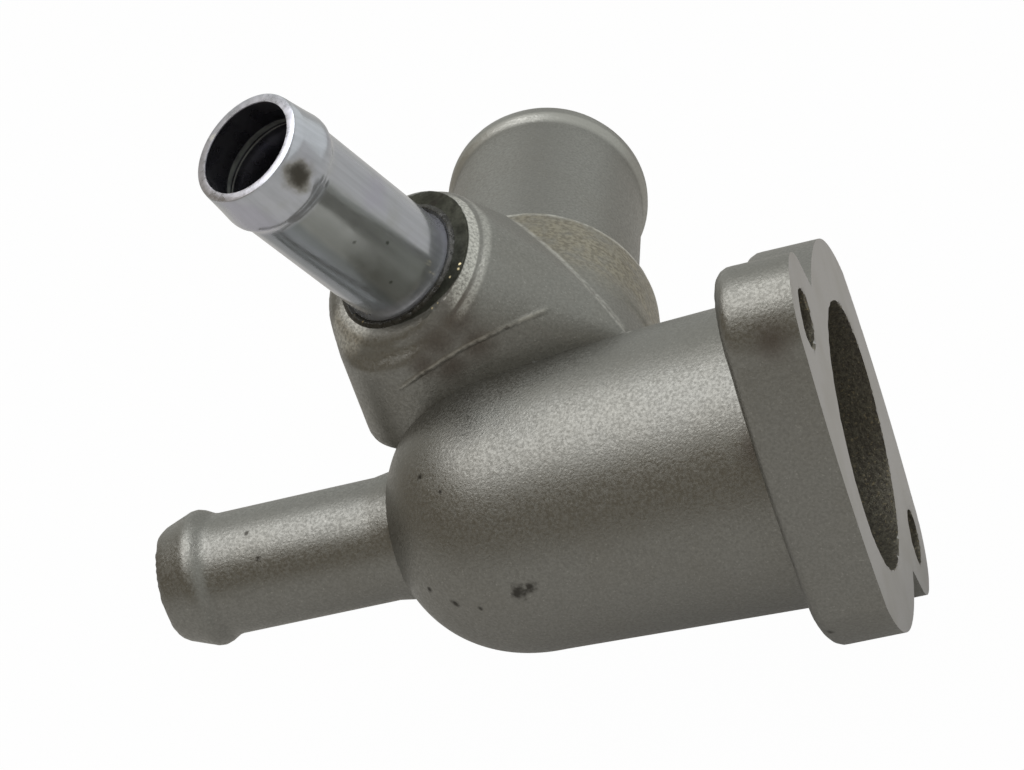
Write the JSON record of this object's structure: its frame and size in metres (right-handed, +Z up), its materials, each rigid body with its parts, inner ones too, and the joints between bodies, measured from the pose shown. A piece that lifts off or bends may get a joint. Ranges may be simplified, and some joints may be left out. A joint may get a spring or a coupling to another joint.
{
  "type": "coolant outlet housing",
  "caption": "Cast aluminium coolant outlet housing with an eared mating flange, a domed chamber with an end hose spigot, a large side hose neck and a pressed-in steel pipe.",
  "frame": {"origin": "centre of the flange's bore on the mating face", "axes": "+X out of the mating face, +Y the side that the large hose neck leaves on, +Z up"},
  "size_m": [0.1085, 0.1135, 0.1113],
  "materials": {
    "cast_aluminium": "blasted casting, machined on the mating face",
    "plated_steel": "bright zinc plating with drawn streaks",
    "cured_sealant": "dark cured bead"
  },
  "bodies": {
    "root": {"housing": "cast_aluminium", "pipe": "plated_steel", "sealant": "cured_sealant"}
  },
  "joints": []
}
